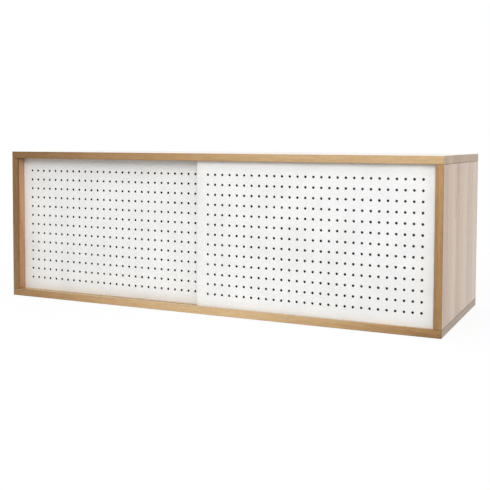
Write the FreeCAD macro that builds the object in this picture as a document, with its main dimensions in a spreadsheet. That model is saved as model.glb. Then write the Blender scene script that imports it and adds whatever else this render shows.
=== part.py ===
import FreeCAD, Part
import os
import re
import Sketcher

# A long oak cabinet whose front is closed by two perforated panels that slide past each other.
# Top and bottom boards run over the side boards and carry two grooves for the panels, and each
# side board has the groove of the panel that closes against it.
# Millimetres: X to the right, Y from the front to the back, Z up, origin under the middle.

SIZES = {
    # Oak box
    "cabinet_width": 1200,
    "cabinet_depth": 432,
    "cabinet_height": 404,
    "board_thickness": 19,
    "board_round": 1.5,
    # Grooves, counted from the front edge of the boards
    "front_land": 11,
    "middle_land": 10,
    "top_groove_depth": 10.5,
    "bottom_groove_depth": 6,
    "side_groove_depth": 4,
    # Perforated doors
    "door_thickness": 6,
    "door_overlap": 37,
    "door_round": 0.8,
    "door_face_play": 0.5,
    "door_end_gap": 1.5,
    "door_top_reach": 3,
    "door_running_gap": 0.2,
    "hole_diameter": 6,
    "hole_pitch_across": 20,
    "hole_pitch_up": 25,
    "hole_side_margin": 30,
    "hole_end_margin": 35,
    "hole_count_slack": 0.001,
    # Slippery strips that the doors run on
    "strip_thickness": 0.8,
    "strip_play": 0.2,
    # Back panel and its screws
    "back_thickness": 6,
    "back_play": 0.5,
    "rebate_width": 10,
    "screw_diameter": 3.5,
    "screw_length": 18,
    "screw_head_diameter": 7,
    "screw_head_height": 2,
    "screw_play": 0.1,
    "screw_inset": 75,
    "long_edge_screws": 5,
    "upright_screws": 2,
    # Centre partition
    "partition_gap": 9,
    # Dowels
    "dowel_diameter": 8,
    "dowel_length": 36,
    "dowel_chamfer": 1,
    "dowel_play": 0.2,
    "dowel_end_gap": 1,
    "dowel_cover": 7,
    "dowel_inset": 55,
    "corner_dowels": 4,
    "partition_dowels": 3,
    # Shelves and the spoon pins that carry them
    "shelf_thickness": 16,
    "shelf_rise": 175,
    "shelf_side_play": 1,
    "shelf_front_step": 12,
    "shelf_back_gap": 2,
    "pin_diameter": 5,
    "pin_depth": 8,
    "pin_play": 0.1,
    "pin_inset": 37,
    "pin_hole_pitch": 32,
    "pin_hole_rows": 5,
    "spoon_length": 9,
    "spoon_width": 8,
    "spoon_thickness": 2,
}

# Lengths that follow from the sizes above, each written once
DERIVED = {
    "inner_width": "cabinet_width - 2 * board_thickness",
    "inner_height": "cabinet_height - 2 * board_thickness",
    "front_edge": "-cabinet_depth / 2",
    "groove_width": "door_thickness + 2 * door_face_play",
    "rear_groove": "front_land + groove_width + middle_land",
    "groove_end": "board_thickness - side_groove_depth",
    "closed_end": "inner_width / 2 + side_groove_depth - door_end_gap",
    "door_width": "closed_end + door_overlap / 2",
    "door_bottom": "board_thickness - bottom_groove_depth + strip_thickness + door_running_gap",
    "door_height": "cabinet_height - board_thickness + door_top_reach - door_bottom",
    "hole_gaps_across": "floor((door_width - 2 * hole_side_margin) / hole_pitch_across + hole_count_slack)",
    "hole_gaps_up": "floor((door_height - 2 * hole_end_margin) / hole_pitch_up + hole_count_slack)",
    "back_width": "inner_width + 2 * rebate_width - 2 * back_play",
    "back_height": "inner_height + 2 * rebate_width - 2 * back_play",
    "back_edge": "board_thickness - rebate_width + back_play",
    "rebate_face": "cabinet_depth - back_thickness",
    "screw_grip": "screw_length - back_thickness + screw_play",
    "partition_front": "rear_groove + groove_width + partition_gap",
    "partition_depth": "rebate_face - partition_front",
    "bay_width": "(inner_width - board_thickness) / 2",
    "dowel_reach": "board_thickness - dowel_cover - dowel_end_gap",
    "dowel_root": "dowel_length - dowel_reach",
    "shelf_front": "partition_front + shelf_front_step",
    "shelf_depth": "rebate_face - shelf_back_gap - shelf_front",
    "shelf_width": "bay_width - 2 * shelf_side_play",
    "pin_height": "shelf_rise - pin_diameter / 2",
}

# Each groove's distance from the front edge, and its start and end from the cabinet's left end
GROOVES = {
    "front": ("front_land", "board_thickness", "cabinet_width - groove_end"),
    "rear": ("rear_groove", "groove_end", "cabinet_width - board_thickness"),
}

FLOOR = "XY_Plane"
FRONT = "XZ_Plane"
SIDE = "YZ_Plane"

doc = FreeCAD.newDocument("Cabinet")
sheet = doc.addObject("Spreadsheet::Sheet", "Sizes")
for row, (alias, size) in enumerate(SIZES.items(), start=1):
    sheet.set(f"A{row}", alias)
    sheet.set(f"B{row}", str(size))
    sheet.setAlias(f"B{row}", alias)
doc.recompute()


def formula(text):
    """Write out the derived lengths in a text and read every size from the sheet."""

    def written_out(match):
        word = match.group(0)
        if word in DERIVED:
            return f"({formula(DERIVED[word])})"
        return f"Sizes.{word}" if word in SIZES else word

    return re.sub(r"[a-z][a-z_]*", written_out, text)


def length_of(text):
    """The present value of a length given as a text."""
    return float(sheet.evalExpression(formula(text)))


# Bodies and sketches


def new_body(label, x, y, z, separate_solids=False):
    """An empty body whose own corner stands at the given place in the cabinet."""
    body = doc.addObject("PartDesign::Body", label)
    body.Label = label
    body.AllowCompound = separate_solids
    for axis, place in zip("xyz", (x, y, z)):
        body.setExpression(f"Placement.Base.{axis}", formula(place))
    return body


def new_sketch(body, plane, level, name):
    """A sketch parallel to one of the body's own planes, at a level along that plane's axis."""
    sketch = body.newObject("Sketcher::SketchObject", f"{body.Name}_{name}_sketch")
    support = next(item for item in body.Origin.OriginFeatures if item.Role == plane)
    sketch.AttachmentSupport = (support, [""])
    sketch.MapMode = "FlatFace"
    side = "-" if plane == FRONT else ""
    sketch.setExpression("AttachmentOffset.Base.z", formula(f"{side}({level})"))
    return sketch


def bind(sketch, kind, places, text):
    """A sketch dimension that follows a text."""
    index = sketch.addConstraint(Sketcher.Constraint(kind, *places, length_of(text)))
    sketch.setExpression(f"Constraints[{index}]", formula(text))


def add_rectangle(sketch, left, right, low, high):
    """A rectangle whose four sides stand at the given distances from the sketch's origin."""
    first = sketch.GeometryCount
    across = (left, right, right, left)
    upward = (low, low, high, high)
    corners = [FreeCAD.Vector(length_of(a), length_of(b), 0) for a, b in zip(across, upward)]
    for start, end in zip(corners, corners[1:] + corners[:1]):
        sketch.addGeometry(Part.LineSegment(start, end))
    for side in range(4):
        follower = first + (side + 1) % 4
        sketch.addConstraint(Sketcher.Constraint("Coincident", first + side, 2, follower, 1))
        level = "Horizontal" if side % 2 == 0 else "Vertical"
        sketch.addConstraint(Sketcher.Constraint(level, first + side))
    bind(sketch, "DistanceX", (-1, 1, first, 1), left)
    bind(sketch, "DistanceY", (-1, 1, first, 1), low)
    bind(sketch, "DistanceX", (-1, 1, first + 2, 1), right)
    bind(sketch, "DistanceY", (-1, 1, first + 2, 1), high)


def add_circles(sketch, places, diameter):
    """Circles of one diameter at the given places."""
    for across, upward in places:
        middle = FreeCAD.Vector(length_of(across), length_of(upward), 0)
        radius = length_of(diameter) / 2
        index = sketch.addGeometry(Part.Circle(middle, FreeCAD.Vector(0, 0, 1), radius))
        bind(sketch, "DistanceX", (-1, 1, index, 3), across)
        bind(sketch, "DistanceY", (-1, 1, index, 3), upward)
        bind(sketch, "Diameter", (index,), diameter)


def extrude(body, kind, plane, sketch, length, towards, taper="0"):
    """Add or cut a sketch's shape, upwards or downwards along the axis of its plane."""
    feature = body.newObject(f"PartDesign::{kind}", sketch.Name.replace("_sketch", f"_{kind.lower()}"))
    feature.Profile = sketch
    feature.setExpression("Length", formula(length))
    feature.setExpression("TaperAngle", formula(taper))
    natural = "-" if kind == "Pocket" else "+"
    feature.Reversed = (towards != natural) != (plane == FRONT)
    return feature


def add_block(body, width, depth, height, rounding):
    """A rectangular block from the body's corner, with all its edges eased."""
    sketch = new_sketch(body, FLOOR, "0", "outline")
    add_rectangle(sketch, "0", width, "0", depth)
    block = extrude(body, "Pad", FLOOR, sketch, height, "+")
    eased = body.newObject("PartDesign::Fillet", f"{body.Name}_eased")
    eased.Base = (block, [""])
    eased.UseAllEdges = True
    eased.setExpression("Radius", formula(rounding))
    return eased


def cut_rectangles(body, name, plane, level, rectangles, depth, towards):
    """A pocket of one or more rectangles."""
    sketch = new_sketch(body, plane, level, name)
    for rectangle in rectangles:
        add_rectangle(sketch, *rectangle)
    return extrude(body, "Pocket", plane, sketch, depth, towards)


def cut_holes(body, name, plane, level, places, diameter, depth, towards, taper="0"):
    """Round holes of one diameter and depth."""
    sketch = new_sketch(body, plane, level, name)
    add_circles(sketch, places, diameter)
    return extrude(body, "Pocket", plane, sketch, depth, towards, taper)


# Where the repeated fittings stand


def spread(first, last, count):
    """Evenly spread places from the first to the last."""
    return [f"{first} + {index} * ({last} - ({first})) / {count - 1}" for index in range(count)]


def corner_dowel_rows():
    """Distances of the corner dowels from the front edge."""
    return spread("dowel_inset", "(cabinet_depth - dowel_inset)", SIZES["corner_dowels"])


def partition_dowel_rows():
    """Distances of the partition's dowels from its own front edge."""
    return spread("dowel_inset", "(partition_depth - dowel_inset)", SIZES["partition_dowels"])


def long_edge_screw_columns():
    """Distances of the screws along the long boards from the cabinet's left end."""
    return spread("screw_inset", "(cabinet_width - screw_inset)", SIZES["long_edge_screws"])


def upright_screw_rows():
    """Heights of the screws in the uprights above the bottom board."""
    return spread("screw_inset", "(inner_height - screw_inset)", SIZES["upright_screws"])


def screw_places():
    """All screws, as distances from the cabinet's left end and from its underside."""
    edge = "board_thickness - rebate_width / 2"
    places = []
    for column in long_edge_screw_columns():
        places.append((column, edge))
        places.append((column, f"cabinet_height - ({edge})"))
    for row in upright_screw_rows():
        for column in (edge, "cabinet_width / 2", f"cabinet_width - ({edge})"):
            places.append((column, f"board_thickness + {row}"))
    return places


def pin_columns():
    """Distances of the front and back shelf pins from the cabinet's front edge."""
    return ["shelf_front + pin_inset", "shelf_front + shelf_depth - pin_inset"]


# Oak boards


def make_long_board(label, z, inner_face, into, groove_depth):
    """The top or bottom board: door grooves, a stopped rebate and the holes of its joints."""
    body = new_body(label, "-cabinet_width / 2", "front_edge", z)
    add_block(body, "cabinet_width", "cabinet_depth", "board_thickness", "board_round")

    grooves = [
        (start, end, near, f"{near} + groove_width")
        for near, start, end in GROOVES.values()
    ]
    cut_rectangles(body, "door_grooves", FLOOR, inner_face, grooves, groove_depth, into)

    rebate_start = "board_thickness - rebate_width"
    rebate_end = f"cabinet_width - ({rebate_start})"
    rebate = (rebate_start, rebate_end, "rebate_face", "cabinet_depth")
    cut_rectangles(body, "back_rebate", FLOOR, inner_face, [rebate], "rebate_width", into)

    ends = ("board_thickness / 2", "cabinet_width - board_thickness / 2")
    dowels = [(end, row) for end in ends for row in corner_dowel_rows()]
    dowels += [("cabinet_width / 2", f"partition_front + {row}") for row in partition_dowel_rows()]
    bore = "dowel_diameter + dowel_play"
    depth = "dowel_reach + dowel_end_gap"
    cut_holes(body, "dowel_holes", FLOOR, inner_face, dowels, bore, depth, into)

    screw_level = f"{inner_face} {into} rebate_width / 2"
    screws = [(column, screw_level) for column in long_edge_screw_columns()]
    pilot = "screw_diameter + screw_play"
    cut_holes(body, "screw_holes", FRONT, "rebate_face", screws, pilot, "screw_grip", "-")
    return body


def cut_upright_joints(body, dowel_rows, screw_column, back):
    """The dowel holes in both ends of an upright board and the screw holes in its back edge."""
    dowels = [("board_thickness / 2", row) for row in dowel_rows]
    bore = "dowel_diameter + dowel_play"
    depth = "dowel_root + dowel_end_gap"
    cut_holes(body, "lower_dowel_holes", FLOOR, "0", dowels, bore, depth, "+")
    cut_holes(body, "upper_dowel_holes", FLOOR, "inner_height", dowels, bore, depth, "-")
    screws = [(screw_column, row) for row in upright_screw_rows()]
    pilot = "screw_diameter + screw_play"
    cut_holes(body, "screw_holes", FRONT, back, screws, pilot, "screw_grip", "-")


def cut_pin_holes(body, name, face, into, front):
    """Two columns of shelf pin holes in the face of an upright board."""
    middle = (SIZES["pin_hole_rows"] - 1) / 2
    places = []
    for column in pin_columns():
        for row in range(SIZES["pin_hole_rows"]):
            height = f"pin_height + ({row - middle}) * pin_hole_pitch"
            places.append((f"{column} - ({front})", height))
    bore = "pin_diameter + pin_play"
    cut_holes(body, name, SIDE, face, places, bore, "pin_depth + pin_play", into)


def make_side_board(label, x, inner_face, into, groove):
    """A side board: an upright door groove and rebate on its inner face, and the holes of its joints."""
    body = new_body(label, x, "front_edge", "board_thickness")
    add_block(body, "board_thickness", "cabinet_depth", "inner_height", "board_round")

    def inner_strip(depth, near, far):
        sides = (f"{inner_face} - {depth}", inner_face)
        if into == "+":
            sides = (inner_face, f"{inner_face} + {depth}")
        return (*sides, near, far)

    near, *_ = GROOVES[groove]
    channels = [
        inner_strip("side_groove_depth", near, f"{near} + groove_width"),
        inner_strip("rebate_width", "rebate_face", "cabinet_depth"),
    ]
    cut_rectangles(body, "channels", FLOOR, "0", channels, "inner_height", "+")

    screw_column = f"{inner_face} {into} rebate_width / 2"
    cut_upright_joints(body, corner_dowel_rows(), screw_column, "rebate_face")
    cut_pin_holes(body, "pin_holes", inner_face, into, "0")
    return body


def make_partition():
    """The upright board in the middle, behind the doors, with pin holes on both faces."""
    body = new_body(
        "centre_partition",
        "-board_thickness / 2",
        "front_edge + partition_front",
        "board_thickness",
    )
    add_block(body, "board_thickness", "partition_depth", "inner_height", "board_round")
    cut_upright_joints(body, partition_dowel_rows(), "board_thickness / 2", "partition_depth")
    cut_pin_holes(body, "left_pin_holes", "0", "+", "partition_front")
    cut_pin_holes(body, "right_pin_holes", "board_thickness", "-", "partition_front")
    return body


def make_shelf(label, bay_left):
    """A loose shelf lying on its four pins."""
    body = new_body(
        label,
        f"{bay_left} + shelf_side_play",
        "front_edge + shelf_front",
        "board_thickness + shelf_rise",
    )
    add_block(body, "shelf_width", "shelf_depth", "shelf_thickness", "board_round")
    return body


# Back panel and its screws


def make_back_panel():
    """The panel in the rebate at the back, countersunk for its screws."""
    edge = "-cabinet_width / 2 + back_edge"
    body = new_body("back_panel", edge, "front_edge + rebate_face", "back_edge")
    sketch = new_sketch(body, FLOOR, "0", "outline")
    add_rectangle(sketch, "0", "back_width", "0", "back_thickness")
    extrude(body, "Pad", FLOOR, sketch, "back_height", "+")
    places = [(f"{column} - back_edge", f"{row} - back_edge") for column, row in screw_places()]
    shank = "screw_diameter + screw_play"
    cut_holes(body, "shank_holes", FRONT, "back_thickness", places, shank, "back_thickness", "-")
    head = "screw_head_diameter + screw_play"
    depth = "screw_head_height"
    slope = "-atan((screw_head_diameter - screw_diameter) / 2 / screw_head_height)"
    cut_holes(body, "countersinks", FRONT, "back_thickness", places, head, depth, "-", slope)
    return body


def make_back_screws():
    """The countersunk screws of the back panel, as one group."""
    body = new_body("back_panel_screws", "-cabinet_width / 2", "front_edge", "0", True)
    shanks = new_sketch(body, FRONT, "cabinet_depth", "shanks")
    add_circles(shanks, screw_places(), "screw_diameter")
    extrude(body, "Pad", FRONT, shanks, "screw_length", "-")
    heads = new_sketch(body, FRONT, "cabinet_depth", "heads")
    add_circles(heads, screw_places(), "screw_head_diameter")
    slope = "-atan((screw_head_diameter - screw_diameter) / 2 / screw_head_height)"
    extrude(body, "Pad", FRONT, heads, "screw_head_height", "-", slope)
    return body


# Dowels and shelf pins


def make_dowels(label, x, y, z, rows):
    """The dowels of one joint, as one group, with chamfered ends."""
    body = new_body(label, x, y, z, True)
    sketch = new_sketch(body, FLOOR, "0", "outline")
    add_circles(sketch, [("board_thickness / 2", row) for row in rows], "dowel_diameter")
    rods = extrude(body, "Pad", FLOOR, sketch, "dowel_length", "+")
    chamfer = body.newObject("PartDesign::Chamfer", f"{body.Name}_chamfer")
    chamfer.Base = (rods, [""])
    chamfer.UseAllEdges = True
    chamfer.setExpression("Size", formula("dowel_chamfer"))
    return body


def make_shelf_pins(label, bay_left):
    """The four spoon pins of one shelf, as one group: a round shank and a flat to lie on."""
    body = new_body(label, f"{bay_left} - pin_depth", "front_edge", "board_thickness", True)
    walls = (("left", "pin_depth", "+"), ("right", "pin_depth + bay_width", "-"))
    for side, wall, out in walls:
        back = f"{wall} - pin_depth" if out == "+" else f"{wall} + pin_depth"
        shanks = new_sketch(body, SIDE, back, f"{side}_shanks")
        add_circles(shanks, [(column, "pin_height") for column in pin_columns()], "pin_diameter")
        extrude(body, "Pad", SIDE, shanks, "pin_depth + spoon_length", out)
        spoons = new_sketch(body, SIDE, wall, f"{side}_spoons")
        for column in pin_columns():
            near = f"{column} - spoon_width / 2"
            far = f"{column} + spoon_width / 2"
            add_rectangle(spoons, near, far, "shelf_rise - spoon_thickness", "shelf_rise")
        extrude(body, "Pad", SIDE, spoons, "spoon_length", out)
    return body


# Doors and their tracks


def make_door_panel():
    """The perforated panel, drilled once and repeated over its whole grid."""
    body = new_body("door_panel", "0", "0", "0")
    add_block(body, "door_width", "door_thickness", "door_height", "door_round")
    side_margin = "(door_width - hole_gaps_across * hole_pitch_across) / 2"
    end_margin = "(door_height - hole_gaps_up * hole_pitch_up) / 2"
    places = [(side_margin, end_margin)]
    hole = cut_holes(
        body, "peg_hole", FRONT, "0", places, "hole_diameter", "door_thickness", "+"
    )
    grid = body.newObject("PartDesign::LinearPattern", "peg_hole_grid")
    grid.Originals = [hole]
    grid.Direction = (hole.Profile[0], ["H_Axis"])
    grid.setExpression("Length", formula("hole_gaps_across * hole_pitch_across"))
    grid.setExpression("Occurrences", formula("hole_gaps_across + 1"))
    grid.Direction2 = (hole.Profile[0], ["V_Axis"])
    grid.setExpression("Length2", formula("hole_gaps_up * hole_pitch_up"))
    grid.setExpression("Occurrences2", formula("hole_gaps_up + 1"))
    body.Tip = grid
    return body


def place_door(label, panel, x, groove):
    """One of the two doors: the panel standing in its pair of grooves."""
    door = doc.addObject("App::Link", label)
    door.Label = label
    door.LinkedObject = panel
    near, *_ = GROOVES[groove]
    y = f"front_edge + {near} + door_face_play"
    for axis, place in zip("xyz", (x, y, "door_bottom")):
        door.setExpression(f"Placement.Base.{axis}", formula(place))
    return door


def make_track_strip(label, groove):
    """The strip on the bottom of a lower groove."""
    strip = doc.addObject("Part::Box", label)
    strip.Label = label
    near, start, end = GROOVES[groove]
    strip.setExpression("Length", formula(f"{end} - {start} - 2 * strip_play"))
    strip.setExpression("Width", formula("groove_width - 2 * strip_play"))
    strip.setExpression("Height", formula("strip_thickness"))
    strip.setExpression("Placement.Base.x", formula(f"-cabinet_width / 2 + {start} + strip_play"))
    strip.setExpression("Placement.Base.y", formula(f"front_edge + {near} + strip_play"))
    strip.setExpression("Placement.Base.z", formula("board_thickness - bottom_groove_depth"))
    return strip


# The whole cabinet

LEFT_END = "-cabinet_width / 2"
RIGHT_END = "cabinet_width / 2 - board_thickness"
LEFT_BAY = "-inner_width / 2"
RIGHT_BAY = "board_thickness / 2"
LOWER_JOINT = "board_thickness - dowel_reach"
UPPER_JOINT = "cabinet_height - board_thickness - dowel_root"
PARTITION_X = "-board_thickness / 2"
PARTITION_Y = "front_edge + partition_front"

door_panel = make_door_panel()
subparts = [
    make_long_board("top_board", "cabinet_height - board_thickness", "0", "+", "top_groove_depth"),
    make_long_board("bottom_board", "0", "board_thickness", "-", "bottom_groove_depth"),
    make_side_board("left_side_board", LEFT_END, "board_thickness", "-", "rear"),
    make_side_board("right_side_board", RIGHT_END, "0", "+", "front"),
    make_partition(),
    make_back_panel(),
    make_back_screws(),
    make_dowels("top_left_dowels", LEFT_END, "front_edge", UPPER_JOINT, corner_dowel_rows()),
    make_dowels("top_right_dowels", RIGHT_END, "front_edge", UPPER_JOINT, corner_dowel_rows()),
    make_dowels("bottom_left_dowels", LEFT_END, "front_edge", LOWER_JOINT, corner_dowel_rows()),
    make_dowels("bottom_right_dowels", RIGHT_END, "front_edge", LOWER_JOINT, corner_dowel_rows()),
    make_dowels("partition_top_dowels", PARTITION_X, PARTITION_Y, UPPER_JOINT, partition_dowel_rows()),
    make_dowels("partition_bottom_dowels", PARTITION_X, PARTITION_Y, LOWER_JOINT, partition_dowel_rows()),
    make_shelf("left_shelf", LEFT_BAY),
    make_shelf("right_shelf", RIGHT_BAY),
    make_shelf_pins("left_shelf_pins", LEFT_BAY),
    make_shelf_pins("right_shelf_pins", RIGHT_BAY),
    make_track_strip("front_track_strip", "front"),
    make_track_strip("rear_track_strip", "rear"),
    place_door("front_door", door_panel, "closed_end - door_width", "front"),
    place_door("rear_door", door_panel, "-closed_end", "rear"),
]
doc.recompute()


# Every object is sound, every cut takes wood away and every sub-part is a valid solid

LEAST_CUT_VOLUME = 1

for item in doc.Objects:
    if "Invalid" in item.State or "Error" in item.State:
        raise RuntimeError(f"{item.Label} could not be built: {item.State}")
    if item.isDerivedFrom("PartDesign::Pocket") or item.isDerivedFrom("PartDesign::LinearPattern"):
        if item.Shape.Volume >= item.BaseFeature.Shape.Volume - LEAST_CUT_VOLUME:
            raise RuntimeError(f"{item.Label} cuts nothing")
for subpart in subparts:
    original = subpart.getLinkedObject()
    if original.Shape.isNull() or not original.Shape.Solids:
        raise RuntimeError(f"{subpart.Label} has no solid")
for original in {subpart.getLinkedObject() for subpart in subparts}:
    if not original.Shape.isValid():
        raise RuntimeError(f"{original.Label} is not a valid shape")

os.makedirs("parts", exist_ok=True)
for subpart in subparts:
    shape = Part.getShape(subpart)
    shape.exportStep(f"parts/{subpart.Label}.step")
    print(f"{subpart.Label}: {len(shape.Solids)} solids, {shape.Volume / 1000:.1f} cm3")
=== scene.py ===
"""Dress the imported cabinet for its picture: oak boards, perforated white doors and small fittings.

Metres, in the part's own frame: X to the right, Y from the front to the back, Z up.
"""

import logging
from collections.abc import Callable, Iterator
from contextlib import contextmanager
from dataclasses import dataclass
from enum import Enum
from math import atan2, cos, pi, radians
from typing import ClassVar

import bmesh
import bpy
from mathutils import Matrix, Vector

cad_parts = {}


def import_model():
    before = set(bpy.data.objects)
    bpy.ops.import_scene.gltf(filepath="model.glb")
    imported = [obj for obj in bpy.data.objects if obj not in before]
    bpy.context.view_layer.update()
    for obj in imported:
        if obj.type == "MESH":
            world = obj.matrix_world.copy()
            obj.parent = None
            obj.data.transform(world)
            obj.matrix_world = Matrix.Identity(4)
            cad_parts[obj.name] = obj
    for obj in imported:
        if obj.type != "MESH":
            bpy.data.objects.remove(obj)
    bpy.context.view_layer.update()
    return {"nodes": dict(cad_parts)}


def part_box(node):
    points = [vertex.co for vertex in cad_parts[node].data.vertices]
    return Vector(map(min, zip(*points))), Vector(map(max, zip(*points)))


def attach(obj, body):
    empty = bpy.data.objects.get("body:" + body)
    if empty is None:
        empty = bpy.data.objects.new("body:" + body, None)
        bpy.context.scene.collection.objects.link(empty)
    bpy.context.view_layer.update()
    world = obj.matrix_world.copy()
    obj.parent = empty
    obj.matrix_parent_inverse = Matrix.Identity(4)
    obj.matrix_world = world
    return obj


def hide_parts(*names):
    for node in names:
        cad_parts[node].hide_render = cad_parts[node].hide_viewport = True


log = logging.getLogger("cabinet")

MM = 0.001
NEAR = 0.01 * MM
# What a face may lean, or a corner lie off its line, as a share of the whole.
SLIGHT = 0.1

Colour = tuple[float, float, float]
Triple = tuple[float, float, float]
Span = tuple[float, float]
Extent = tuple[Vector, Vector]
Piece = bpy.types.Object
Socket = bpy.types.NodeSocket
Test = Callable[..., bool]

WHITE: Colour = (1.0, 1.0, 1.0)
# Where most of a soft noise lies.
SWING: Span = (0.3, 0.7)


def shade(*seen: int) -> Colour:
    """Turn red, green and blue as they are seen, 0 to 255, into the linear ones of a shader."""
    # The curve by which screens show colours.
    parts = [value / 255 for value in seen]
    return tuple(p / 12.92 if p <= 0.04045 else ((p + 0.055) / 1.055) ** 2.4 for p in parts)


# Hand tools


class Element(Enum):
    """What a selection is made of."""

    VERT = "verts"
    EDGE = "edges"
    FACE = "faces"


def pick(*pieces: Piece) -> None:
    """Select only some pieces.

    Args:
        pieces: The pieces, the first of which becomes the active one.
    """
    bpy.ops.object.select_all(action="DESELECT")
    for piece in pieces:
        piece.select_set(True)
    bpy.context.view_layer.objects.active = pieces[0]


@contextmanager
def editing(piece: Piece) -> Iterator[None]:
    """Work on one piece in edit mode, with nothing else selected.

    Args:
        piece: The piece to work on.

    Yields:
        Nothing: edit mode lasts as long as the block.
    """
    pick(piece)
    bpy.ops.object.mode_set(mode="EDIT")
    yield
    bpy.ops.object.mode_set(mode="OBJECT")


def select(piece: Piece, kind: Element, wanted: Test) -> None:
    """Select, in edit mode, the elements of one kind that pass a test.

    Args:
        piece: The piece that is being edited.
        kind: Vertices, edges or faces.
        wanted: Says whether an element is selected.
    """
    bpy.ops.mesh.select_mode(type=kind.name)
    bpy.ops.mesh.select_all(action="DESELECT")
    mesh = bmesh.from_edit_mesh(piece.data)
    for element in getattr(mesh, kind.value):
        element.select_set(wanted(element))
    bmesh.update_edit_mesh(piece.data)


def lies_at(axis: int, *levels: float) -> Test:
    """Make a test for elements that lie wholly at one of some levels along an axis.

    Args:
        axis: 0, 1 or 2 for X, Y or Z.
        levels: The places along that axis.

    Returns:
        The test, for edges and faces.
    """
    return lambda element: any(
        all(abs(vert.co[axis] - level) < NEAR for vert in element.verts) for level in levels
    )


def centred_on(place: Vector) -> Test:
    """Make a test for faces that have their middle at a place."""
    return lambda face: (face.calc_center_median() - place).length < NEAR


def ease(piece: Piece, wanted: Test, width: float, steps: int = 1) -> None:
    """Bevel, in edit mode, the edges that pass a test, with so many faces across the bevel."""
    select(piece, Element.EDGE, wanted)
    bpy.ops.mesh.bevel(offset=width, segments=steps, affect="EDGES")


def push(*move: float) -> None:
    """Extrude the selected faces and move them."""
    bpy.ops.mesh.extrude_region_move(TRANSFORM_OT_translate={"value": move})


def new_piece(name: str) -> Piece:
    """Name the active piece.

    Args:
        name: The name of the piece and its mesh.

    Returns:
        The piece.
    """
    piece = bpy.context.object
    piece.name = name
    piece.data.name = name
    return piece


def finish_with(piece: Piece, kind: str, **settings: object) -> None:
    """Put a modifier on a piece and apply it.

    Args:
        piece: The piece to change.
        kind: The modifier's type.
        settings: The modifier's own settings.
    """
    pick(piece)
    modifier = piece.modifiers.new(kind.title(), kind)
    for name, value in settings.items():
        setattr(modifier, name, value)
    bpy.ops.object.modifier_apply(modifier=modifier.name)


def combine(piece: Piece, operation: str, tool: Piece) -> None:
    """Add another shape to a piece, or cut it out, and throw that shape away.

    Args:
        piece: The piece to change.
        operation: UNION or DIFFERENCE.
        tool: The shape that is added or cut out.
    """
    finish_with(piece, "BOOLEAN", operation=operation, object=tool, solver="EXACT")
    bpy.data.objects.remove(tool, do_unlink=True)


def settle(piece: Piece, smooth_angle: float = radians(35)) -> None:
    """Put a piece's place into its mesh, close its seams and turn its faces outwards.

    Args:
        piece: The piece to settle.
        smooth_angle: Edges flatter than this are shaded smooth.
    """
    pick(piece)
    bpy.ops.object.transform_apply(location=True, rotation=True, scale=True)
    with editing(piece):
        bpy.ops.mesh.select_all(action="SELECT")
        bpy.ops.mesh.remove_doubles(threshold=NEAR)
        bpy.ops.mesh.normals_make_consistent(inside=False)
    pick(piece)
    bpy.ops.object.shade_smooth_by_angle(angle=smooth_angle)


def copy_of(piece: Piece, name: str, move: Vector, turn: float = 0.0) -> Piece:
    """Copy a piece, with its own mesh, to another place.

    Args:
        piece: The piece to copy.
        name: The copy's name.
        move: How far the copy is moved.
        turn: How far it is turned first, about the upright line through the origin.

    Returns:
        The copy, with its place in its mesh.
    """
    pick(piece)
    bpy.ops.object.duplicate(linked=False)
    copy = new_piece(name)
    bpy.ops.transform.rotate(value=turn, orient_axis="Z", center_override=(0, 0, 0))
    bpy.ops.transform.translate(value=move)
    bpy.ops.object.transform_apply(location=True, rotation=True, scale=True)
    return copy


def join(pieces: list[Piece], name: str) -> Piece:
    """Make one piece of several.

    Args:
        pieces: The pieces to join.
        name: The name of the whole.

    Returns:
        The joined piece.
    """
    pick(*pieces)
    bpy.ops.object.join()
    return new_piece(name)


def stand_for(piece: Piece, node: str, body: str) -> None:
    """Let a piece take the place of a node of the frame.

    Args:
        piece: The new piece.
        node: The node that it stands for.
        body: The body that it moves with.
    """
    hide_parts(node)
    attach(piece, body)
    log.info("%s: %d faces", piece.name, len(piece.data.polygons))


# Finishes


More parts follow.
